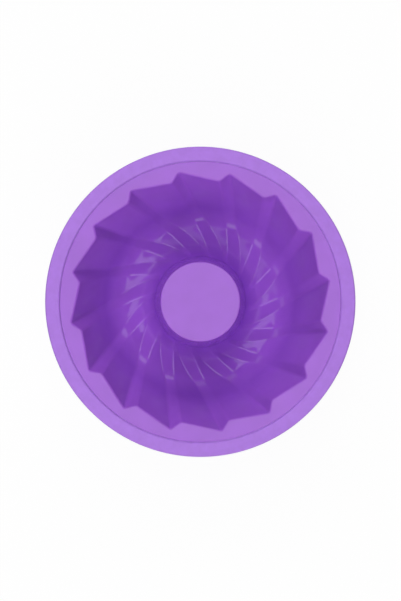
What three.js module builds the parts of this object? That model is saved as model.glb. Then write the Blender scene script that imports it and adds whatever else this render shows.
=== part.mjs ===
// Swirl ring-cake mould: one moulding of silicone, standing mouth up on the crown of its flutes.
// Millimetres, +Z up, ring axis on Z, standing plane at z = 0.
// The moulding is divided at its natural edges, and neighbours share the same corner points.
// Turns are in degrees, clockwise as seen from above, starting at +X.

import * as THREE from 'three';

// Rim: a raised band round a flat flange
const overallHeight = 70;
const rimRadius = 125;
const bandWidth = 11.4;
const bandThickness = 4.2;
const bandRise = 1.2;
const bandEdgeRadius = 1.5;
const flangeWidth = 8.1;
const flangeThickness = 2.6;

// Mouth: saw teeth with a long and a short straight edge, and a rounded lip
const fluteCount = 16;
const toothDepth = 7.5;
const ridgeLead = 4;
const lipRadius = 1.2;
const seamWidth = 3;

// Flutes: straight walls that bend into a slightly hollow crown, with rounded edges
const wall = 2.2;
const bendRise = 16;
const bendRun = 12;
const crownWidth = 13.4;
const crownRelief = 3.4;
const crownHollow = 0.3;
const tipRounding = 2.6;
const ridgeRounding = 2.4;

// Swirl: turn of the flute edges per unit of the natural logarithm of the radius,
// and the further turn of the tips inside a radius, with its smooth start
const swirl = 27;
const crownSwirl = 23;
const crownSwirlRadius = 77;
const crownSwirlEase = 0.1;

// Centre tube
const tubeTopRadius = 32.2;
const tubeDraft = 7.5;
const footReach = 8.4;
const footTilt = 28;
const footRise = 19.8;
const capDrop = 2.4;
const capThickness = 2.2;
const capEdgeRadius = 0.8;

// Finish
const colour = 0xa86ddd;
const glossyRoughness = 0.3;
const frostedRoughness = 0.55;

// Rows of points along each stretch of the wall, and steps in an eighth of a turn on rounded rims
const wallSteps = 5;
const bendSteps = 5;
const crownSteps = 2;
const footSteps = 5;
const edgeSteps = 2;

// Order of the points across a flute: three round the ridge, then three round the tip
const ridgeIndex = 1;
const tipIndex = 4;
const pointsPerFlute = 6;
const ringPoints = pointsPerFlute * fluteCount;
const pitch = 360 / fluteCount;

// Heights
const bandBottom = overallHeight - bandThickness;
const flangeTop = overallHeight - bandRise;
const flangeBottom = flangeTop - flangeThickness;
const tipCrown = wall;
const ridgeCrown = tipCrown + crownRelief;
const footTop = tipCrown + footRise;
const capTop = flangeTop - capDrop;
const capBottom = capTop - capThickness;

// Radii
const bandInnerRadius = rimRadius - bandWidth;
const tipMouthRadius = bandInnerRadius - flangeWidth;
const ridgeMouthRadius = tipMouthRadius - toothDepth;
const seamRadius = tipMouthRadius + seamWidth;
const crownInnerRadius = tubeRadius(tipCrown) + footReach;
const crownOuterRadius = crownInnerRadius + crownWidth;

// Row numbers, counted from the lip
const crownStart = wallSteps + bendSteps;
const crownEnd = crownStart + crownSteps;
const footEnd = crownEnd + footSteps;

function tubeRadius(height) {
  return tubeTopRadius + (capTop - height) * Math.tan(THREE.MathUtils.degToRad(tubeDraft));
}

// The value where it is positive and zero where it is negative, with a smooth start
function eased(value, ease) {
  if (Math.abs(value) > ease) {
    return Math.max(value, 0);
  }
  return (value + ease) ** 2 / (4 * ease);
}

function tipTurn(radius) {
  const further = eased(Math.log(crownSwirlRadius / radius), crownSwirlEase);
  return swirl * Math.log(tipMouthRadius / radius) + crownSwirl * further;
}

function ridgeTurn(radius) {
  return swirl * Math.log(ridgeMouthRadius / radius) - ridgeLead;
}

function pointAt(radius, turn, height) {
  const angle = THREE.MathUtils.degToRad(turn);
  return new THREE.Vector3(radius * Math.cos(angle), -radius * Math.sin(angle), height);
}

// Half section along one flute edge, as radius and height: wall, bend, hollow crown, foot of the tube
function edgeProfile(mouthRadius, crown) {
  const mouthEdge = new THREE.Vector2(mouthRadius, flangeTop);
  const crownEdge = crown + crownHollow;
  const outer = new THREE.Vector2(crownOuterRadius, crownEdge);
  const dip = new THREE.Vector2(crownOuterRadius - crownWidth / 2, crown - crownHollow);
  const corner = outer.clone().sub(dip).setLength(bendRun).add(outer);
  const bendStart = mouthEdge.clone().sub(corner).setLength(bendRise).add(corner);
  const shoulder = crownEdge + footReach * Math.tan(THREE.MathUtils.degToRad(footTilt));
  const path = new THREE.Path([mouthEdge, bendStart]);
  path.quadraticCurveTo(corner.x, corner.y, outer.x, outer.y);
  path.quadraticCurveTo(dip.x, dip.y, crownInnerRadius, crownEdge);
  path.quadraticCurveTo(tubeRadius(shoulder), shoulder, tubeRadius(footTop), footTop);
  return path.curves;
}

const tipEdge = edgeProfile(tipMouthRadius, tipCrown);
const ridgeEdge = edgeProfile(ridgeMouthRadius, ridgeCrown);

// Three points that round a corner, kept clear of the neighbouring corners
function roundedCorner(previous, corner, next, distance) {
  const room = Math.min(corner.distanceTo(previous), corner.distanceTo(next));
  const reach = Math.min(distance, 0.4 * room);
  const start = previous.clone().sub(corner).setLength(reach).add(corner);
  const end = next.clone().sub(corner).setLength(reach).add(corner);
  const middle = start.clone().add(end).multiplyScalar(0.25).addScaledVector(corner, 0.5);
  return [start, middle, end];
}

// One row round the mould, through given points of the tip and ridge half sections
function flutedRing(tip, ridge) {
  const tipAt = (flute) => pointAt(tip.x, tipTurn(tip.x) + flute * pitch, tip.y);
  const ridgeAt = (flute) => pointAt(ridge.x, ridgeTurn(ridge.x) + flute * pitch, ridge.y);
  const ring = [];
  for (let flute = 0; flute < fluteCount; flute++) {
    ring.push(...roundedCorner(tipAt(flute - 1), ridgeAt(flute), tipAt(flute), ridgeRounding));
    ring.push(...roundedCorner(ridgeAt(flute), tipAt(flute), ridgeAt(flute + 1), tipRounding));
  }
  return ring;
}

// The fluted row at a depth below the flange's top, where both walls still run straight
function rowAtDepth(depth) {
  const onWall = (edge) => {
    const [top, bottom] = [edge[0].v1, edge[0].v2];
    return top.clone().lerp(bottom, depth / (top.y - bottom.y));
  };
  return flutedRing(onWall(tipEdge), onWall(ridgeEdge));
}

function circleRing(radius, height, turn = 0) {
  const ring = [];
  for (let index = 0; index < ringPoints; index++) {
    ring.push(pointAt(radius, turn + ((index - tipIndex) / pointsPerFlute) * pitch, height));
  }
  return ring;
}

// The same row moved outwards in plan by a distance, and set at a height
function widenedRing(ring, distance, height) {
  return ring.map((point, index) => {
    const along = ring[(index + 1) % ringPoints].clone().sub(ring.at(index - 1));
    const sideways = new THREE.Vector3(-along.y, along.x, 0).normalize();
    return point.clone().addScaledVector(sideways, distance).setZ(height);
  });
}

// Rows on the cavity side, from the lip down to the crown and up the tube to its cap
function cavityRows() {
  const rows = [rowAtDepth(lipRadius)];
  [wallSteps, bendSteps, crownSteps].forEach((steps, stretch) => {
    for (let step = 1; step <= steps; step++) {
      const tip = tipEdge[stretch].getPoint(step / steps);
      rows.push(flutedRing(tip, ridgeEdge[stretch].getPoint(step / steps)));
    }
  });
  const footRadius = tubeRadius(footTop);
  const footTurn = (tipTurn(footRadius) + ridgeTurn(footRadius) + pitch / 2) / 2;
  for (let step = 1; step <= footSteps; step++) {
    const share = step / footSteps;
    const tip = tipEdge.at(-1).getPoint(share);
    const round = circleRing(tip.x, tip.y, footTurn);
    const fluted = flutedRing(tip, ridgeEdge.at(-1).getPoint(share));
    rows.push(fluted.map((point, index) => point.lerp(round[index], share)));
  }
  rows.push(circleRing(tubeRadius(capBottom), capBottom, footTurn));
  return rows;
}

// Rows on the far side, one wall thickness from the cavity, with flat feet under the tips of the crown
function farRows(inner) {
  const rows = inner.map((row, level) => {
    const above = inner[Math.max(level - 1, 0)];
    const below = inner[Math.min(level + 1, inner.length - 1)];
    return row.map((point, index) => {
      const round = row[(index + 1) % ringPoints].clone().sub(row.at(index - 1));
      const down = below[index].clone().sub(above[index]);
      return round.cross(down).setLength(wall).add(point);
    });
  });
  for (let level = crownStart; level <= crownEnd; level++) {
    const feet = rows[level].filter((point, index) => index % pointsPerFlute >= tipIndex - 1);
    feet.forEach((point) => point.setZ(0));
  }
  const boreWall = wall / Math.cos(THREE.MathUtils.degToRad(tubeDraft));
  rows[footEnd + 1] = widenedRing(inner[footEnd + 1], -boreWall, capBottom);
  return rows;
}

// Rows that more than one piece uses
const mouth = rowAtDepth(0);
const lipHalf = lipRadius * (1 - Math.SQRT1_2);
const lipTop = widenedRing(mouth, lipRadius, flangeTop);
const lipMiddle = widenedRing(mouth, lipHalf, flangeTop - lipHalf);
const underFlange = widenedRing(rowAtDepth(flangeThickness), wall, flangeBottom);
const seamTop = circleRing(seamRadius, flangeTop);
const seamBottom = circleRing(seamRadius, flangeBottom);
const inside = cavityRows();
const outside = farRows(inside);

// Triangles through rows that each run round a body, with the last row joined to the first
function skin(rows, closedRound) {
  const corners = [];
  rows.forEach((row, level) => {
    const closing = level === rows.length - 1;
    const next = closing ? rows[0] : rows[level + 1];
    const count = closedRound ? row.length : row.length - 1;
    for (let here = 0; here < count; here++) {
      const there = (here + 1) % row.length;
      if (closing) {
        corners.push(row[here], next[here], row[there], next[here], next[there], row[there]);
      } else {
        corners.push(row[here], next[here], next[there], row[here], next[there], row[there]);
      }
    }
  });
  return corners;
}

// Triangles that close a flute along a ridge, from the cavity side to the far side
function ridgeFace(cavitySide, farSide) {
  const spare = cavitySide.length - farSide.length;
  const corners = [];
  for (let level = 0; level + 1 < cavitySide.length; level++) {
    const here = farSide[Math.max(level - spare, 0)];
    const below = farSide[Math.max(level + 1 - spare, 0)];
    corners.push(cavitySide[level], here, cavitySide[level + 1]);
    if (below !== here) {
      corners.push(cavitySide[level + 1], here, below);
    }
  }
  return corners;
}

function piece(name, geometry, roughness) {
  const silicone = new THREE.MeshStandardMaterial({ color: colour, roughness, metalness: 0 });
  const mesh = new THREE.Mesh(geometry, silicone);
  mesh.name = name;
  return mesh;
}

function lofted(name, corners, roughness = glossyRoughness) {
  const geometry = new THREE.BufferGeometry().setFromPoints(corners);
  geometry.computeVertexNormals();
  return piece(name, geometry, roughness);
}

// The raised outer band, rounded on its outer edges and eased on its inner one
function rimBand() {
  const edge = Math.min(bandEdgeRadius, bandThickness / 2);
  const ease = bandRise / 2;
  const section = new THREE.Path();
  section.moveTo(bandInnerRadius, bandBottom);
  section.lineTo(rimRadius - edge, bandBottom);
  section.absarc(rimRadius - edge, bandBottom + edge, edge, -Math.PI / 2, 0);
  section.absarc(rimRadius - edge, overallHeight - edge, edge, 0, Math.PI / 2);
  section.lineTo(bandInnerRadius + ease, overallHeight);
  section.lineTo(bandInnerRadius, overallHeight - ease);
  const rings = section.getPoints(edgeSteps).map((point) => circleRing(point.x, point.y));
  return lofted('rim_band', skin(rings, true), frostedRoughness);
}

// The flat ledge between the band and the mouth
function rimFlange() {
  const outerTop = circleRing(bandInnerRadius, flangeTop);
  const outerBottom = circleRing(bandInnerRadius, flangeBottom);
  return lofted('rim_flange', skin([seamTop, seamBottom, outerBottom, outerTop], true));
}

// One flute, from ridge to ridge, with its share of the flange, the wall and the crown
function flute(number) {
  const first = (number - 1) * pointsPerFlute + ridgeIndex;
  const across = Array.from({ length: pointsPerFlute + 1 }, (_, step) => (first + step) % ringPoints);
  const slice = (ring) => across.map((index) => ring[index]);
  const cavitySide = [seamTop, lipTop, lipMiddle, ...inside.slice(0, crownEnd + 1)].map(slice);
  const farSide = [seamBottom, underFlange, ...outside.slice(1, crownEnd + 1)].map(slice);
  const endFace = (end) => ridgeFace(cavitySide.map((row) => row.at(end)), farSide.map((row) => row.at(end)));
  const shell = skin([...cavitySide, ...farSide.toReversed()], false);
  const name = `flute_${String(number).padStart(2, '0')}`;
  return lofted(name, [...shell, ...endFace(0), ...endFace(-1).reverse()]);
}

function tubeRing(name, from, to) {
  const farSide = outside.slice(from, to + 1).reverse();
  return lofted(name, skin([...inside.slice(from, to + 1), ...farSide], true));
}

// The flat disc that closes the tube, with a rounded edge
function tubeCap() {
  const edge = Math.min(capEdgeRadius, capThickness);
  const section = new THREE.Path();
  section.moveTo(0, capBottom);
  section.lineTo(tubeRadius(capBottom), capBottom);
  section.absarc(tubeTopRadius - edge, capTop - edge, edge, 0, Math.PI / 2);
  section.lineTo(0, capTop);
  const geometry = new THREE.LatheGeometry(section.getPoints(edgeSteps), ringPoints);
  geometry.rotateX(Math.PI / 2);
  return piece('tube_cap', geometry, glossyRoughness);
}

const mould = new THREE.Group();
mould.add(rimBand(), rimFlange());
for (let number = 1; number <= fluteCount; number++) {
  mould.add(flute(number));
}
mould.add(tubeRing('tube_foot', crownEnd, footEnd));
mould.add(tubeRing('centre_tube', footEnd, footEnd + 1));
mould.add(tubeCap());

export default mould;
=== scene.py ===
import math

import bmesh
import bpy
from bpy.props import FloatProperty, FloatVectorProperty, IntProperty, PointerProperty
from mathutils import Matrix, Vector


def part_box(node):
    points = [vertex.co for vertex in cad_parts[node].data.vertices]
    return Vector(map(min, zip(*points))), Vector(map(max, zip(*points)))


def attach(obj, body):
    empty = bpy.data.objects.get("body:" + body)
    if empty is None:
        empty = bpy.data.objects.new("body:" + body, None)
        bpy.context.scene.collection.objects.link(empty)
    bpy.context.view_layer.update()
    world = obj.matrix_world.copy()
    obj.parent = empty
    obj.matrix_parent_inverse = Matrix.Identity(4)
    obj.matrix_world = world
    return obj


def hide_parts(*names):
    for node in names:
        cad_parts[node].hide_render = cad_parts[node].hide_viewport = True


bl_info = {
    "name": "Swirl Cake Mould",
    "version": (1, 0, 0),
    "blender": (4, 5, 0),
    "location": "3D View > Sidebar > Cake Mould",
    "description": "Models a silicone swirl cake mould over its measured frame, on a white stage",
    "category": "Add Mesh",
}

# The measured frame, in metres, with +Z up and the ring's axis on Z
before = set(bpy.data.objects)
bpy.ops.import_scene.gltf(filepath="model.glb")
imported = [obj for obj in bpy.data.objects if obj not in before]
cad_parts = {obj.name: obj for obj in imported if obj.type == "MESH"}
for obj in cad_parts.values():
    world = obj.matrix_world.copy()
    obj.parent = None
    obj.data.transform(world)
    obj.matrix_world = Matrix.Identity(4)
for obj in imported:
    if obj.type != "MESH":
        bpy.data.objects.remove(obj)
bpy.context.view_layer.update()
BAND_LOW, BAND_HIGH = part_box("rim_band")
FLANGE_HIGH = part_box("rim_flange")[1]
FOOT_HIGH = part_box("tube_foot")[1]
CAP_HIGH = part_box("tube_cap")[1]
ORIGIN = (0, 0, 0)

# Rows and segments of the meshes, and the cap's rings as shares of its radius
RIM_SEGMENTS = 288
WALL_ROWS = 14
BEND_ROWS = 14
CROWN_ROWS = 6
FACET_CUTS = 7
ROUNDING_SEGMENTS = 6
FOOT_ROWS = 10
TUBE_ROWS = 8
CAP_RINGS = (0.9, 0.6, 0.3)

# How smoothly the tips begin their further turn, as a logarithm of the radius
SWIRL_EASE = 0.1

# How near points have to be to count as at one height or radius, and as on one edge
SAME_PLACE = 1e-5
SAME_EDGE = 1e-4

# The upward part of a normal, at least for a level face and at most for a steep one
LEVEL = 0.9
STEEP = 0.8

# Edges that turn by less than this look smooth
SMOOTH_ANGLE = math.radians(50)

# Refraction of silicone, and the light that spreads under its skin
SILICONE_IOR = 1.41
SPREAD_SHARE = 0.1
SPREAD_COLOURS = (1.0, 0.5, 1.0)
SPREAD_DEPTH = 0.002

# The noise values between which the silicone goes from its darker to its lighter tint
DARKER_TINT = 0.3
LIGHTER_TINT = 0.7

# The paper floor
FLOOR_SIZE = 40
PAPER_WHITE = (0.95, 0.95, 0.95, 1)
PAPER_ROUGHNESS = 0.9

# The camera's sensor in millimetres, and bearings straight past the picture's top and bottom
SENSOR_WIDTH = 36
PAST_TOP = 0
PAST_BOTTOM = math.pi

# Where reflections of the white surroundings fade into the dark ceiling, over the horizon
LOW_SKY_WHITE = math.radians(12)
LOW_SKY_DARK = math.radians(28)


def length(name, description, default):
    return FloatProperty(name=name, description=description, default=default, min=0, unit="LENGTH")


def angle(name, description, degrees):
    return FloatProperty(
        name=name, description=description, default=math.radians(degrees), subtype="ANGLE"
    )


def share(name, description, default):
    return FloatProperty(
        name=name, description=description, default=default, min=0, max=1, subtype="FACTOR"
    )


def colour(name, description, default):
    return FloatVectorProperty(
        name=name, description=description, default=default, min=0, max=1, size=3, subtype="COLOR"
    )


def offset(name, description, default):
    return FloatProperty(name=name, description=description, default=default, unit="LENGTH")


def glow(name, description, default):
    description += " against white"
    return FloatProperty(name=name, description=description, default=default, min=0)


class RimSizes(bpy.types.PropertyGroup):
    """Sizes of the raised band and of the flat flange inside it"""

    radius: length("Rim radius", "Outer radius of the rim", BAND_HIGH.x)
    top: length("Rim top", "Height of the band's top", BAND_HIGH.z)
    underside: length("Rim underside", "Height of the band's underside", BAND_LOW.z)
    step_radius: length("Step radius", "Radius where the band rises from the flange", FLANGE_HIGH.x)
    flange_top: length("Flange top", "Height of the flange's top", FLANGE_HIGH.z)
    edge_rounding: length("Edge rounding", "Rounding of the rim's outer edges", 0.0015)
    step_run: length("Step run", "Width of the slope between flange and band", 0.0014)
    step_rounding: length("Step rounding", "Rounding at the top of the step", 0.0005)


class FluteSizes(bpy.types.PropertyGroup):
    """Sizes of the swirled flutes, from the mouth down to the crown"""

    count: IntProperty(name="Flutes", description="Number of flutes", default=16, min=3)
    flange_width: length("Flange width", "Flange between the step and the mouth's tips", 0.0081)
    tooth_depth: length("Tooth depth", "Depth of the mouth's teeth", 0.0075)
    ridge_lead: angle("Ridge lead", "Turn from each ridge to the next tip at the mouth", 4)
    swirl: angle("Swirl", "Turn of the flutes per logarithm of the radius", 27)
    crown_swirl: angle(
        "Crown swirl", "Further turn of the tips per logarithm of the radius, low down", 23
    )
    crown_swirl_radius: length("Crown swirl radius", "Radius where the further turn begins", 0.077)
    bend_rise: length("Bend rise", "Reach of the bend from wall to crown up the wall", 0.0160)
    bend_run: length("Bend run", "Reach of the bend from wall to crown over the crown", 0.0120)
    crown_width: length("Crown width", "Width of the crown between the bend and the foot", 0.0134)
    crown_relief: length("Crown relief", "Height of the ridges over the tips on the crown", 0.0034)
    crown_hollow: length("Crown hollow", "Rise of the crown's edges over its middle", 0.0003)
    tip_rounding: length("Tip rounding", "Rounding of the tips at the mouth", 0.0014)
    tip_wall_rounding: length("Tip wall rounding", "Rounding of the tips low on the wall", 0.0020)
    tip_crown_rounding: length("Tip crown rounding", "Rounding of the tips on the crown", 0.0006)
    ridge_rounding: length("Ridge rounding", "Rounding of the ridges at the mouth", 0.0020)
    ridge_wall_rounding: length(
        "Ridge wall rounding", "Rounding of the ridges low on the wall", 0.0016
    )
    ridge_crown_rounding: length(
        "Ridge crown rounding", "Rounding of the ridges on the crown", 0.0008
    )
    lip_rounding: length("Lip rounding", "Rounding of the mouth's lip", 0.0013)
    wall: length("Wall", "Thickness of the wall", 0.0022)
    foot_flat: length("Foot flat", "Height under which the crown is pressed flat", 0.0005)


class TubeSizes(bpy.types.PropertyGroup):
    """Sizes of the centre tube, its foot and its cap"""

    top_radius: length("Tube radius", "Radius of the tube at its cap", 0.0322)
    draft: angle("Tube draft", "Lean of the tube's side", 7.5)
    foot_reach: length("Foot reach", "Width of the curved foot of the tube", 0.0084)
    foot_tilt: angle("Foot tilt", "Slope of the foot where it leaves the crown", 28)
    foot_top: length("Foot top", "Height where the foot meets the straight tube", FOOT_HIGH.z)
    cap_top: length("Cap top", "Height of the cap's top", CAP_HIGH.z)
    cap_rounding: length("Cap rounding", "Rounding of the cap's edge", 0.0008)


class SiliconeFinish(bpy.types.PropertyGroup):
    """Colours and gloss of the silicone"""

    glossy: colour("Silicone", "Colour of the glossy silicone", (0.335, 0.100, 0.635))
    frosted: colour("Frosted silicone", "Colour of the frosted rim", (0.420, 0.190, 0.745))
    gloss_roughness: share("Gloss roughness", "Roughness of the glossy silicone", 0.04)
    frost_roughness: share("Frost roughness", "Roughness of the frosted rim", 0.55)
    gloss_change: share("Gloss change", "How far the glossy silicone's roughness changes", 0.02)
    frost_change: share("Frost change", "How far the frosted rim's roughness changes", 0.1)
    tint_change: share("Tint change", "How far the colours lighten and darken", 0.04)


class StageSizes(bpy.types.PropertyGroup):
    """Camera and light, laid out along the edges of the picture"""

    camera_height: length("Camera height", "Height of the camera over the flange", 1.1)
    focal_length: FloatProperty(
        name="Focal length", description="Lens of the camera", default=81.8, unit="CAMERA"
    )
    camera_right: offset("Camera right", "Shift of the camera to the picture's right", 0.00015)
    camera_up: offset("Camera up", "Shift of the camera up the picture", 0.00103)
    picture_turn: angle("Picture turn", "Turn of the picture about the mould's axis", -9.5)
    soft_box_height: length("Soft box height", "Height of the overhead soft box", 1.5)
    soft_box_width: length("Soft box width", "Width of the soft box across the picture", 0.9)
    soft_box_length: length("Soft box length", "Length of the soft box up the picture", 1.4)
    soft_box_right: offset("Soft box right", "Shift of the soft box to the picture's right", -0.12)
    soft_box_up: offset("Soft box up", "Shift of the soft box up the picture", 0.025)
    soft_box_brightness: glow("Soft box brightness", "Brightness of the soft box", 2.7)
    panel_distance: length("Panel distance", "Distance of the standing panels from the axis", 1.6)
    panel_low: length("Panel low", "Height of the standing panels' lower edges", 1.12)
    panel_high: length("Panel high", "Height of the standing panels' upper edges", 2.0)
    far_bearing: angle("Far bearing", "Clockwise bearing of the far panel from the top", 350)
    near_bearing: angle("Near bearing", "Clockwise bearing of the near panel from the top", 157)
    left_near_bearing: angle("Left near bearing", "Clockwise bearing of the nearer left panel", 225)
    left_far_bearing: angle("Left far bearing", "Clockwise bearing of the farther left panel", 285)
    far_width: length("Far panel width", "Width of the panel past the picture's top", 2.1)
    near_width: length("Near panel width", "Width of the panel past the picture's bottom", 2.5)
    left_width: length("Left panel width", "Width of each panel past the picture's left", 1.85)
    far_brightness: glow("Far panel", "Brightness of the panel past the picture's top", 1.8)
    near_brightness: glow("Near panel", "Brightness of the panel past the picture's bottom", 2.0)
    left_brightness: glow("Left panels", "Brightness of the panels past the picture's left", 0.9)
    fill_width: length("Fill width", "Width of the fill panels", 0.86)
    fill_low: length("Fill low", "Height of the fill panels' lower edges", 0.15)
    fill_high: length("Fill high", "Height of the fill panels' upper edges", 2.3)
    far_fill: glow("Far fill", "Brightness of the fill past the picture's top", 2.4)
    near_fill: glow("Near fill", "Brightness of the fill past the picture's bottom", 2.0)
    floor_glow: share("Floor glow", "Share of the floor's own white over its shadow", 0.95)


def start_piece(name):
    """Names the primitive just added, puts its place into its mesh and opens it for editing"""
    piece = bpy.context.object
    piece.name = name
    piece.data.name = name
    bpy.ops.object.transform_apply(location=True, rotation=True, scale=True)
    bpy.ops.object.mode_set(mode="EDIT")
    bpy.ops.mesh.select_mode(type="VERT")
    return piece


def selected_points(piece):
    """The selected points, numbered as they lie in the mesh"""
    points = bmesh.from_edit_mesh(piece.data).verts
    points.index_update()
    return [point for point in points if point.select]


def select_points(piece, wanted):
    """Selects the points that pass a test, with the edges and faces between them"""
    bpy.ops.mesh.select_mode(type="VERT")
    bpy.ops.mesh.select_all(action="DESELECT")
    mesh = bmesh.from_edit_mesh(piece.data)
    for point in mesh.verts:
        point.select = wanted(point)
    mesh.select_flush(True)
    bmesh.update_edit_mesh(piece.data)


def select_edges(piece, wanted):
    """Selects the edges that pass a test"""
    bpy.ops.mesh.select_mode(type="EDGE")
    bpy.ops.mesh.select_all(action="DESELECT")
    mesh = bmesh.from_edit_mesh(piece.data)
    for edge in mesh.edges:
        edge.select = wanted(edge)
    bmesh.update_edit_mesh(piece.data)


def select_faces(piece, wanted):
    """Selects the faces that pass a test"""
    bpy.ops.mesh.select_mode(type="FACE")
    bpy.ops.mesh.select_all(action="DESELECT")
    mesh = bmesh.from_edit_mesh(piece.data)
    for face in mesh.faces:
        face.select = wanted(face)
    bmesh.update_edit_mesh(piece.data)


def radius_of(point):
    return math.hypot(point.co.x, point.co.y)


def turn_of(point):
    """Turn of a point about the axis, clockwise as seen from above, from +X"""
    return math.atan2(-point.co.y, point.co.x)


def close_to(first, second):
    return abs(first - second) < SAME_PLACE


def on_ring(edge, radius, height):
    """Whether an edge lies along a level ring about the axis"""
    level = all(close_to(point.co.z, height) for point in edge.verts)
    return level and all(abs(radius_of(point) - radius) < SAME_EDGE for point in edge.verts)


def curve(start, corner, end, steps):
    """Points along a curve that leaves its start and reaches its end in the corner's direction"""
    points = []
    for step in range(steps + 1):
        along = step / steps
        points.append(start.lerp(corner, along).lerp(corner.lerp(end, along), along))
    return points


def eased(value, ease):
    """The value where it is positive and zero where it is negative, with a smooth start"""
    if value < -ease:
        return 0
    if value > ease:
        return value
    return (value + ease) ** 2 / (4 * ease)


def extrude_ring():
    """Extrudes the selected ring of edges in place, and leaves the new ring selected"""
    bpy.ops.mesh.extrude_edges_move(TRANSFORM_OT_translate={"value": (0, 0, 0)})


def move_ring(widening=1, turn=0, rise=0):
    """Scales the selected points about the axis in plan, turns them clockwise and lifts them"""
    bpy.ops.transform.resize(value=(widening, widening, 1), center_override=ORIGIN)
    bpy.ops.transform.rotate(value=turn, orient_axis="Z", center_override=ORIGIN)
    bpy.ops.transform.translate(value=(0, 0, rise))


def round_edges(size, segments):
    """Rounds the selected edges"""
    bpy.ops.mesh.bevel(offset=size, offset_type="OFFSET", segments=segments, affect="EDGES")


def apply_modifier(piece, kind, **settings):
    """Adds a modifier with these settings and applies it"""
    modifier = piece.modifiers.new(kind.title(), kind)
    for name, value in settings.items():
        setattr(modifier, name, value)
    bpy.ops.object.modifier_apply(modifier=modifier.name)


def finish_piece(piece, material, replaced):
    """Smooths a closed piece, gives it its material and sets it on the frame"""
    bpy.ops.object.mode_set(mode="OBJECT")
    bpy.ops.object.shade_smooth_by_angle(angle=SMOOTH_ANGLE)
    apply_modifier(piece, "WEIGHTED_NORMAL", keep_sharp=True)
    piece.data.materials.append(material)
    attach(piece, "root")
    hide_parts(*replaced)


class MOULD_OT_rim_band(bpy.types.Operator):
    """Models the frosted band that is raised round the edge of the mould"""

    bl_idname = "mould.rim_band"
    bl_label = "Rim Band"

    def execute(self, context):
        rim = context.scene.mould_rim
        thickness = rim.top - rim.underside
        bpy.ops.object.select_all(action="DESELECT")
        bpy.ops.mesh.primitive_cylinder_add(
            vertices=RIM_SEGMENTS,
            radius=rim.radius,
            depth=thickness,
            location=(0, 0, rim.underside + thickness / 2),
        )
        band = start_piece("frosted_rim")
        select_faces(band, lambda face: abs(face.normal.z) > LEVEL)
        bpy.ops.mesh.inset(thickness=rim.radius - rim.step_radius, use_even_offset=True)
        bpy.ops.mesh.delete(type="FACE")
        select_edges(band, lambda edge: edge.is_boundary)
        bpy.ops.mesh.bridge_edge_loops()
        self.slope_step(band, rim)
        self.round_band(band, rim)
        select_faces(band, lambda face: True)
        bpy.ops.mesh.normals_make_consistent(inside=False)
        finish_piece(band, frosted_silicone(context), ["rim_band"])
        return {"FINISHED"}

    def slope_step(self, band, rim):
        """Leans the step: its foot comes in, level with the flange, and its top goes out"""
        toe_radius = rim.step_radius - rim.step_run / 2
        brow_radius = rim.step_radius + rim.step_run / 2
        middle = (rim.step_radius + rim.radius) / 2

        def at_top(point):
            return radius_of(point) < middle and close_to(point.co.z, rim.top)

        def below_step(point):
            return radius_of(point) < middle and point.co.z < rim.flange_top + SAME_PLACE

        select_faces(band, lambda face: True)
        bpy.ops.mesh.bisect(plane_co=(0, 0, rim.flange_top), plane_no=(0, 0, 1))
        select_points(band, at_top)
        move_ring(widening=brow_radius / rim.step_radius)
        select_points(band, below_step)
        move_ring(widening=toe_radius / rim.step_radius)

    def round_band(self, band, rim):
        """Rounds the outer edges and the top of the step"""
        brow_radius = rim.step_radius + rim.step_run / 2

        def outer_edge(edge):
            return on_ring(edge, rim.radius, rim.top) or on_ring(edge, rim.radius, rim.underside)

        select_edges(band, outer_edge)
        round_edges(rim.edge_rounding, ROUNDING_SEGMENTS)
        select_edges(band, lambda edge: on_ring(edge, brow_radius, rim.top))
        round_edges(rim.step_rounding, ROUNDING_SEGMENTS // 2)


class FluteEdge:
    """One of a flute's two edges: its turn at each radius and its rows down to the crown"""

    def __init__(self, flutes, mouth_radius, mouth_turn, crown_swirl, rows, roundings):
        self.swirl = flutes.swirl
        self.crown_swirl_radius = flutes.crown_swirl_radius
        self.mouth_radius = mouth_radius
        self.mouth_turn = mouth_turn
        self.crown_swirl = crown_swirl
        self.rows = rows
        self.roundings = roundings

    def turn_at(self, radius):
        inward = math.log(self.mouth_radius / radius)
        further = eased(math.log(self.crown_swirl_radius / radius), SWIRL_EASE)
        return self.mouth_turn + self.swirl * inward + self.crown_swirl * further


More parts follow.
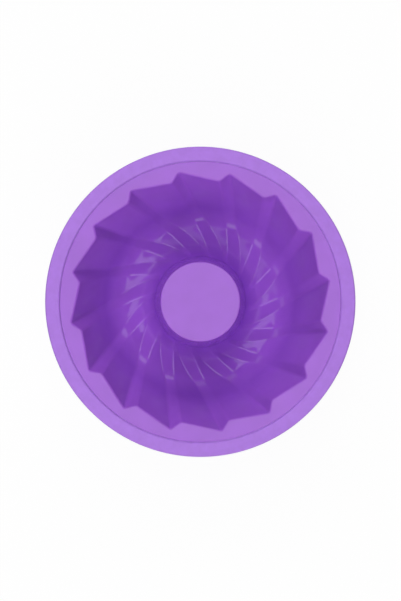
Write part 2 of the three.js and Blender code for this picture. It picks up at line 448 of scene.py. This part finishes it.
class MOULD_OT_fluted_body(bpy.types.Operator):
    """Models the flange, flutes, crown and centre tube as one skin with a wall"""

    bl_idname = "mould.fluted_body"
    bl_label = "Fluted Body"

    def execute(self, context):
        self.rim = context.scene.mould_rim
        self.flutes = context.scene.mould_flutes
        self.tube = context.scene.mould_tube
        self.pitch = 2 * math.pi / self.flutes.count
        self.lay_out_edges()
        body = self.sink_flutes()
        self.round_flutes(body)
        self.spread_flange(body)
        self.raise_foot(body)
        self.raise_side()
        self.close_cap()
        self.thicken(body)
        self.round_lips(body)
        self.flatten_feet(body)
        replaced = [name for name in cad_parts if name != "rim_band"]
        finish_piece(body, glossy_silicone(context), replaced)
        return {"FINISHED"}

    def tube_radius(self, height):
        return self.tube.top_radius + (self.tube.cap_top - height) * math.tan(self.tube.draft)

    def half_section(self, mouth_radius, crown):
        """Radius and height of a flute edge at each row, down the wall and over the crown"""
        flutes = self.flutes
        half_width = flutes.crown_width / 2
        hollow = flutes.crown_hollow
        mouth = Vector((mouth_radius, self.rim.flange_top))
        inner = Vector((self.crown_inner, crown + hollow))
        dip = inner + Vector((half_width, -2 * hollow))
        outer = inner + Vector((2 * half_width, 0))
        corner = outer + (outer - dip).normalized() * flutes.bend_run
        bend_start = corner + (mouth - corner).normalized() * flutes.bend_rise
        rows = [mouth.lerp(bend_start, step / WALL_ROWS) for step in range(WALL_ROWS)]
        rows += curve(bend_start, corner, outer, BEND_ROWS)[:-1]
        rows += curve(outer, dip, inner, CROWN_ROWS)
        return rows

    def roundings(self, at_mouth, at_wall_foot, on_crown):
        """Rounding of a flute edge at each stretch between two rows"""
        sizes = []
        for step in range(WALL_ROWS):
            sizes.append(at_mouth + (at_wall_foot - at_mouth) * step / WALL_ROWS)
        for step in range(BEND_ROWS):
            sizes.append(at_wall_foot + (on_crown - at_wall_foot) * step / BEND_ROWS)
        return sizes + [on_crown] * CROWN_ROWS

    def lay_out_edges(self):
        """Works out the tip and ridge edges of the flutes, and a radius halfway along them"""
        flutes = self.flutes
        tip_crown = flutes.wall
        self.ridge_crown = tip_crown + flutes.crown_relief
        self.crown_inner = self.tube_radius(tip_crown) + self.tube.foot_reach
        tip_mouth = self.rim.step_radius - flutes.flange_width
        ridge_mouth = tip_mouth - flutes.tooth_depth
        self.tip = FluteEdge(
            flutes,
            mouth_radius=tip_mouth,
            mouth_turn=0,
            crown_swirl=flutes.crown_swirl,
            rows=self.half_section(tip_mouth, tip_crown),
            roundings=self.roundings(
                flutes.tip_rounding, flutes.tip_wall_rounding, flutes.tip_crown_rounding
            ),
        )
        self.ridge = FluteEdge(
            flutes,
            mouth_radius=ridge_mouth,
            mouth_turn=-flutes.ridge_lead,
            crown_swirl=0,
            rows=self.half_section(ridge_mouth, self.ridge_crown),
            roundings=self.roundings(
                flutes.ridge_rounding, flutes.ridge_wall_rounding, flutes.ridge_crown_rounding
            ),
        )
        self.halfway = (self.crown_inner + ridge_mouth) / 2

    def turn_from(self, edge, point):
        """How far a point is turned from the nearest copy of a flute edge"""
        off = turn_of(point) - edge.turn_at(radius_of(point)) + self.pitch / 2
        return abs(off % self.pitch - self.pitch / 2)

    def on_tip(self, point):
        return self.turn_from(self.tip, point) < self.turn_from(self.ridge, point)

    def carry(self, piece, numbers, edge, row):
        """Moves the numbered points, which lie on a flute edge, from the row above to this row"""
        select_points(piece, lambda point: point.index in numbers)
        old = edge.rows[row - 1]
        new = edge.rows[row]
        turn = edge.turn_at(new.x) - edge.turn_at(old.x)
        move_ring(widening=new.x / old.x, turn=turn, rise=new.y - old.y)

    def sink_flutes(self):
        """Extrudes a ring at the mouth row by row down the flutes to the crown"""
        bpy.ops.object.select_all(action="DESELECT")
        bpy.ops.mesh.primitive_circle_add(
            vertices=2 * self.flutes.count,
            radius=self.tip.mouth_radius,
            location=(0, 0, self.rim.flange_top),
        )
        body = start_piece("fluted_body")
        select_points(body, lambda point: point.index % 2)
        move_ring(
            widening=self.ridge.mouth_radius / self.tip.mouth_radius,
            turn=self.pitch / 2 - self.flutes.ridge_lead,
        )
        bpy.ops.mesh.select_all(action="SELECT")
        for row in range(1, len(self.tip.rows)):
            extrude_ring()
            ring = selected_points(body)
            tips = {point.index for point in ring if self.on_tip(point)}
            ridges = {point.index for point in ring} - tips
            self.carry(body, tips, self.tip, row)
            self.carry(body, ridges, self.ridge, row)
            select_points(body, lambda point: point.index in tips | ridges)
        return body

    def round_flutes(self, body):
        """Rounds the tips and ridges, more on the wall than on the crown, and divides the facets"""
        largest = max(self.tip.roundings + self.ridge.roundings)
        for flute_edge in (self.tip, self.ridge):
            for row, size in enumerate(flute_edge.roundings):
                upper = flute_edge.rows[row].x
                lower = flute_edge.rows[row + 1].x

                def along_this_row(edge):
                    radii = sorted(radius_of(point) for point in edge.verts)
                    if not (close_to(radii[0], lower) and close_to(radii[1], upper)):
                        return False
                    turns = [self.turn_from(flute_edge, point) for point in edge.verts]
                    return max(turns) < SAME_EDGE

                select_edges(body, along_this_row)
                bpy.ops.transform.edge_bevelweight(value=size / largest)
        bpy.ops.object.mode_set(mode="OBJECT")
        apply_modifier(
            body,
            "BEVEL",
            limit_method="WEIGHT",
            width=largest,
            segments=ROUNDING_SEGMENTS,
            use_clamp_overlap=False,
        )
        bpy.ops.object.mode_set(mode="EDIT")
        select_edges(body, lambda edge: self.on_tip(edge.verts[0]) != self.on_tip(edge.verts[1]))
        bpy.ops.mesh.subdivide(number_cuts=FACET_CUTS)

    def spread_flange(self, body):
        """Extrudes the mouth outwards to a circle at the foot of the step"""
        flange_radius = self.rim.step_radius - self.rim.step_run / 2

        def along_mouth(edge):
            return edge.is_boundary and radius_of(edge.verts[0]) > self.halfway

        select_edges(body, along_mouth)
        extrude_ring()
        bpy.ops.transform.tosphere(value=1)
        move_ring(widening=flange_radius / radius_of(selected_points(body)[0]))

    def raise_foot(self, body):
        """Extrudes the crown's inner ring up round the foot, where the flutes die into a circle"""
        def inside_crown(edge):
            return edge.is_boundary and radius_of(edge.verts[0]) < self.halfway

        select_edges(body, inside_crown)
        crown = (self.flutes.wall + self.ridge_crown) / 2 + self.flutes.crown_hollow
        shoulder = crown + self.tube.foot_reach * math.tan(self.tube.foot_tilt)
        start = Vector((self.crown_inner, crown))
        corner = Vector((self.tube_radius(shoulder), shoulder))
        end = Vector((self.tube_radius(self.tube.foot_top), self.tube.foot_top))
        foot = curve(start, corner, end, FOOT_ROWS)
        # Each row keeps less of the flutes' relief and swirl than the row below it
        relief_left = 1
        for step in range(1, FOOT_ROWS + 1):
            here = foot[step - 1]
            there = foot[step]
            along = step / FOOT_ROWS
            flattening = (1 - along) / relief_left
            relief_left = 1 - along
            extrude_ring()
            bpy.ops.transform.resize(value=(1, 1, flattening), center_override=(0, 0, here.y))
            bpy.ops.transform.tosphere(value=along)
            turn = self.tip.turn_at(there.x) - self.tip.turn_at(here.x)
            move_ring(there.x / here.x, turn * relief_left, there.y - here.y)
        # The last row is a circle, which takes the tube's own radius
        move_ring(end.x / radius_of(selected_points(body)[0]))

    def raise_side(self):
        """Extrudes the foot's top ring up the tube's leaning side"""
        rise = (self.tube.cap_top - self.tube.foot_top) / TUBE_ROWS
        height = self.tube.foot_top
        for step in range(TUBE_ROWS):
            extrude_ring()
            narrowing = self.tube_radius(height + rise) / self.tube_radius(height)
            move_ring(narrowing, rise=rise)
            height += rise

    def close_cap(self):
        """Extrudes the tube's top ring inwards and closes it in the middle"""
        ring_share = 1
        for next_share in CAP_RINGS:
            extrude_ring()
            move_ring(next_share / ring_share)
            ring_share = next_share
        extrude_ring()
        bpy.ops.mesh.merge(type="CENTER")

    def thicken(self, body):
        """Turns the cavity's faces up and gives the skin its wall on the far side"""
        select_faces(body, lambda face: True)
        bpy.ops.mesh.normals_make_consistent(inside=False)
        faces = bmesh.from_edit_mesh(body.data).faces
        if sum(face.normal.z * face.calc_area() for face in faces) < 0:
            bpy.ops.mesh.flip_normals()
        bpy.ops.object.mode_set(mode="OBJECT")
        apply_modifier(
            body,
            "SOLIDIFY",
            thickness=self.flutes.wall,
            offset=-1,
            use_even_offset=True,
            use_quality_normals=True,
        )
        bpy.ops.object.mode_set(mode="EDIT")

    def round_lips(self, body):
        """Rounds the lip of the mouth and the edge of the cap"""
        tube = self.tube
        inside_step = self.rim.step_radius - self.rim.step_run

        def along_lip(edge):
            level = all(close_to(point.co.z, self.rim.flange_top) for point in edge.verts)
            inner = all(radius_of(point) < inside_step for point in edge.verts)
            return level and inner and min(face.normal.z for face in edge.link_faces) < STEEP

        select_edges(body, along_lip)
        round_edges(self.flutes.lip_rounding, ROUNDING_SEGMENTS)
        select_edges(body, lambda edge: on_ring(edge, tube.top_radius, tube.cap_top))
        round_edges(tube.cap_rounding, ROUNDING_SEGMENTS)

    def flatten_feet(self, body):
        """Presses the lowest stretches of the crown flat on the standing plane"""
        select_points(body, lambda point: point.co.z < self.flutes.foot_flat)
        bpy.ops.transform.resize(value=(1, 1, 0), center_override=ORIGIN)


def new_material(name):
    material = bpy.data.materials.new(name)
    material.use_nodes = True
    return material, material.node_tree.nodes, material.node_tree.links


def new_silicone(name):
    """A material with the refraction of silicone and a little light under its skin"""
    material, nodes, links = new_material(name)
    shader = nodes["Principled BSDF"]
    shader.inputs["IOR"].default_value = SILICONE_IOR
    shader.inputs["Subsurface Weight"].default_value = SPREAD_SHARE
    shader.inputs["Subsurface Radius"].default_value = SPREAD_COLOURS
    shader.inputs["Subsurface Scale"].default_value = SPREAD_DEPTH
    return material, nodes, links


def noise(nodes, links, scale, detail):
    """Noise that stays in its place on the mould"""
    place = nodes.new("ShaderNodeTexCoord")
    pattern = nodes.new("ShaderNodeTexNoise")
    pattern.inputs["Scale"].default_value = scale
    pattern.inputs["Detail"].default_value = detail
    links.new(place.outputs["Object"], pattern.inputs["Vector"])
    return pattern.outputs["Fac"]


def tint(nodes, links, pattern, middle, change):
    """Gives the silicone its colour, a little darker and lighter along a pattern"""
    ramp = nodes.new("ShaderNodeValToRGB")
    darker, lighter = ramp.color_ramp.elements
    darker.position = DARKER_TINT
    darker.color = (*((1 - change) * value for value in middle), 1)
    lighter.position = LIGHTER_TINT
    lighter.color = (*((1 + change) * value for value in middle), 1)
    links.new(pattern, ramp.inputs["Fac"])
    links.new(ramp.outputs["Color"], nodes["Principled BSDF"].inputs["Base Color"])


def roughen(nodes, links, pattern, middle, change):
    """Gives the silicone its roughness, a little less and more along a pattern"""
    roughness = nodes.new("ShaderNodeMapRange")
    roughness.inputs["To Min"].default_value = middle - change
    roughness.inputs["To Max"].default_value = middle + change
    links.new(pattern, roughness.inputs["Value"])
    links.new(roughness.outputs["Result"], nodes["Principled BSDF"].inputs["Roughness"])


def ripple(nodes, links, pattern, strength, distance):
    """Makes the silicone's surface look raised and lowered along a pattern"""
    bump = nodes.new("ShaderNodeBump")
    bump.inputs["Strength"].default_value = strength
    bump.inputs["Distance"].default_value = distance
    links.new(pattern, bump.inputs["Height"])
    links.new(bump.outputs["Normal"], nodes["Principled BSDF"].inputs["Normal"])


def glossy_silicone(context):
    """Smooth purple silicone, faintly clouded and slightly wavy"""
    finish = context.scene.mould_finish
    material, nodes, links = new_silicone("glossy_silicone")
    clouds = noise(nodes, links, scale=45, detail=3)
    waves = noise(nodes, links, scale=60, detail=1)
    tint(nodes, links, clouds, finish.glossy, finish.tint_change)
    roughen(nodes, links, clouds, finish.gloss_roughness, finish.gloss_change)
    ripple(nodes, links, waves, strength=0.3, distance=0.0003)
    return material


def frosted_silicone(context):
    """Purple silicone with the fine frosting of a blasted tool"""
    finish = context.scene.mould_finish
    material, nodes, links = new_silicone("frosted_silicone")
    mottling = noise(nodes, links, scale=180, detail=4)
    grain = noise(nodes, links, scale=1600, detail=2)
    tint(nodes, links, mottling, finish.frosted, finish.tint_change)
    roughen(nodes, links, grain, finish.frost_roughness, finish.frost_change)
    ripple(nodes, links, grain, strength=0.35, distance=0.0001)
    return material


def combined(nodes, links, operation, first, second):
    """Two values put together by an operation"""
    result = nodes.new("ShaderNodeMath")
    result.operation = operation
    links.new(first, result.inputs[0])
    links.new(second, result.inputs[1])
    return result.outputs["Value"]


def ways_seen(nodes, links):
    """Whether the camera sees straight, and whether by reflection or through glass"""
    path = nodes.new("ShaderNodeLightPath").outputs
    mirrored = combined(nodes, links, "MAXIMUM", path["Is Glossy Ray"], path["Is Transmission Ray"])
    return path["Is Camera Ray"], mirrored


class MOULD_OT_stage(bpy.types.Operator):
    """Sets the mould on a white floor under soft light, with the camera straight above it"""

    bl_idname = "mould.stage"
    bl_label = "Stage"

    def execute(self, context):
        self.sizes = context.scene.mould_stage
        context.scene.view_settings.view_transform = "Standard"
        self.place_camera(context)
        self.hang_soft_box(context)
        self.stand_panels(context)
        self.light_surroundings(context)
        self.lay_floor()
        return {"FINISHED"}

    def picture_point(self, right, up, height):
        """A point given along the picture's edges, in the mould's frame"""
        turn = self.sizes.picture_turn
        x = right * math.cos(turn) - up * math.sin(turn)
        y = right * math.sin(turn) + up * math.cos(turn)
        return (x, y, height)

    def place_camera(self, context):
        """A camera that looks straight down, over the mould's middle"""
        lens = bpy.data.cameras.new("camera")
        lens.lens = self.sizes.focal_length
        lens.sensor_width = SENSOR_WIDTH
        camera = bpy.data.objects.new("camera", lens)
        context.collection.objects.link(camera)
        height = context.scene.mould_rim.flange_top + self.sizes.camera_height
        camera.location = self.picture_point(self.sizes.camera_right, self.sizes.camera_up, height)
        camera.rotation_euler = (0, 0, self.sizes.picture_turn)
        context.scene.camera = camera

    def soft_panel(self, context, name, width, height, brightness):
        """An even panel of light, as bright as white paper at a brightness of 1"""
        light = bpy.data.lights.new(name, "AREA")
        light.shape = "RECTANGLE"
        light.size = width
        light.size_y = height
        light.energy = brightness * math.pi * width * height
        panel = bpy.data.objects.new(name, light)
        panel.visible_camera = False
        context.collection.objects.link(panel)
        return panel

    def hang_soft_box(self, context):
        """A bright soft box overhead, shifted to the picture's left"""
        sizes = self.sizes
        box = self.soft_panel(
            context,
            "overhead_soft_box",
            sizes.soft_box_width,
            sizes.soft_box_length,
            sizes.soft_box_brightness,
        )
        box.location = self.picture_point(
            sizes.soft_box_right, sizes.soft_box_up, sizes.soft_box_height
        )
        box.rotation_euler = (0, 0, sizes.picture_turn)

    def stand_panel(self, context, name, bearing, width, low, high, brightness):
        """A panel that stands at a bearing from the picture's top, clockwise, and faces the axis"""
        sizes = self.sizes
        panel = self.soft_panel(context, name, width, high - low, brightness)
        panel.location = self.picture_point(
            sizes.panel_distance * math.sin(bearing),
            sizes.panel_distance * math.cos(bearing),
            (low + high) / 2,
        )
        panel.rotation_euler = (math.pi / 2, 0, math.pi - bearing + sizes.picture_turn)
        return panel

    def stand_panels(self, context):
        """Panels past the picture's top, bottom and left, and fills that reflections don't show"""
        sizes = self.sizes
        low, high = sizes.panel_low, sizes.panel_high
        left_width, left_brightness = sizes.left_width, sizes.left_brightness
        panels = {
            "far_panel": (sizes.far_bearing, sizes.far_width, sizes.far_brightness),
            "near_panel": (sizes.near_bearing, sizes.near_width, sizes.near_brightness),
            "left_near_panel": (sizes.left_near_bearing, left_width, left_brightness),
            "left_far_panel": (sizes.left_far_bearing, left_width, left_brightness),
        }
        for name, (bearing, width, brightness) in panels.items():
            self.stand_panel(context, name, bearing, width, low, high, brightness)
        fills = {
            "far_fill": (PAST_TOP, sizes.far_fill),
            "near_fill": (PAST_BOTTOM, sizes.near_fill),
        }
        width, low, high = sizes.fill_width, sizes.fill_low, sizes.fill_high
        for name, (bearing, brightness) in fills.items():
            fill = self.stand_panel(context, name, bearing, width, low, high, brightness)
            fill.visible_glossy = False

    def light_surroundings(self, context):
        """Surroundings that are white to the eye and low down in reflections, and give no light"""
        world = bpy.data.worlds.new("surroundings")
        context.scene.world = world
        world.use_nodes = True
        nodes = world.node_tree.nodes
        links = world.node_tree.links
        nodes["Background"].inputs["Color"].default_value = (1, 1, 1, 1)
        place = nodes.new("ShaderNodeTexCoord")
        split = nodes.new("ShaderNodeSeparateXYZ")
        links.new(place.outputs["Generated"], split.inputs["Vector"])
        low_sky = nodes.new("ShaderNodeMapRange")
        low_sky.inputs["From Min"].default_value = math.sin(LOW_SKY_WHITE)
        low_sky.inputs["From Max"].default_value = math.sin(LOW_SKY_DARK)
        low_sky.inputs["To Min"].default_value = 1
        low_sky.inputs["To Max"].default_value = 0
        links.new(split.outputs["Z"], low_sky.inputs["Value"])
        straight, mirrored = ways_seen(nodes, links)
        low_mirrored = combined(nodes, links, "MULTIPLY", mirrored, low_sky.outputs["Result"])
        seen = combined(nodes, links, "MAXIMUM", straight, low_mirrored)
        links.new(seen, nodes["Background"].inputs["Strength"])

    def lay_floor(self):
        """A white floor that keeps the mould's soft shadow"""
        bpy.ops.object.select_all(action="DESELECT")
        bpy.ops.mesh.primitive_plane_add(size=FLOOR_SIZE)
        floor = bpy.context.object
        floor.name = "floor"
        material, nodes, links = new_material("white_floor")
        paper = nodes["Principled BSDF"]
        paper.inputs["Base Color"].default_value = PAPER_WHITE
        paper.inputs["Roughness"].default_value = PAPER_ROUGHNESS
        paper.inputs["Specular IOR Level"].default_value = 0
        white = nodes.new("ShaderNodeEmission")
        own_white = nodes.new("ShaderNodeValue").outputs["Value"]
        own_white.default_value = self.sizes.floor_glow
        seen = combined(nodes, links, "MAXIMUM", *ways_seen(nodes, links))
        mix = nodes.new("ShaderNodeMixShader")
        links.new(combined(nodes, links, "MULTIPLY", seen, own_white), mix.inputs["Fac"])
        links.new(paper.outputs["BSDF"], mix.inputs[1])
        links.new(white.outputs["Emission"], mix.inputs[2])
        links.new(mix.outputs["Shader"], nodes["Material Output"].inputs["Surface"])
        floor.data.materials.append(material)


class MOULD_PT_sizes(bpy.types.Panel):
    """Lists the mould's sizes, colours and pieces"""

    bl_idname = "MOULD_PT_sizes"
    bl_label = "Cake Mould"
    bl_space_type = "VIEW_3D"
    bl_region_type = "UI"
    bl_category = "Cake Mould"

    def draw(self, context):
        for group in GROUPS:
            settings = getattr(context.scene, group)
            column = self.layout.column()
            for name in settings.__annotations__:
                column.prop(settings, name)
        for step in STEPS:
            self.layout.operator(f"mould.{step}")


GROUPS = {
    "mould_rim": RimSizes,
    "mould_flutes": FluteSizes,
    "mould_tube": TubeSizes,
    "mould_finish": SiliconeFinish,
    "mould_stage": StageSizes,
}
STEPS = ("stage", "rim_band", "fluted_body")
CLASSES = (
    *GROUPS.values(),
    MOULD_OT_stage,
    MOULD_OT_rim_band,
    MOULD_OT_fluted_body,
    MOULD_PT_sizes,
)


def register():
    for cls in CLASSES:
        bpy.utils.register_class(cls)
    for group, cls in GROUPS.items():
        setattr(bpy.types.Scene, group, PointerProperty(type=cls))


def unregister():
    for group in GROUPS:
        delattr(bpy.types.Scene, group)
    for cls in reversed(CLASSES):
        bpy.utils.unregister_class(cls)


def main():
    register()
    bpy.ops.mould.stage()
    bpy.ops.mould.rim_band()
    bpy.ops.mould.fluted_body()


if __name__ == "__main__":
    main()
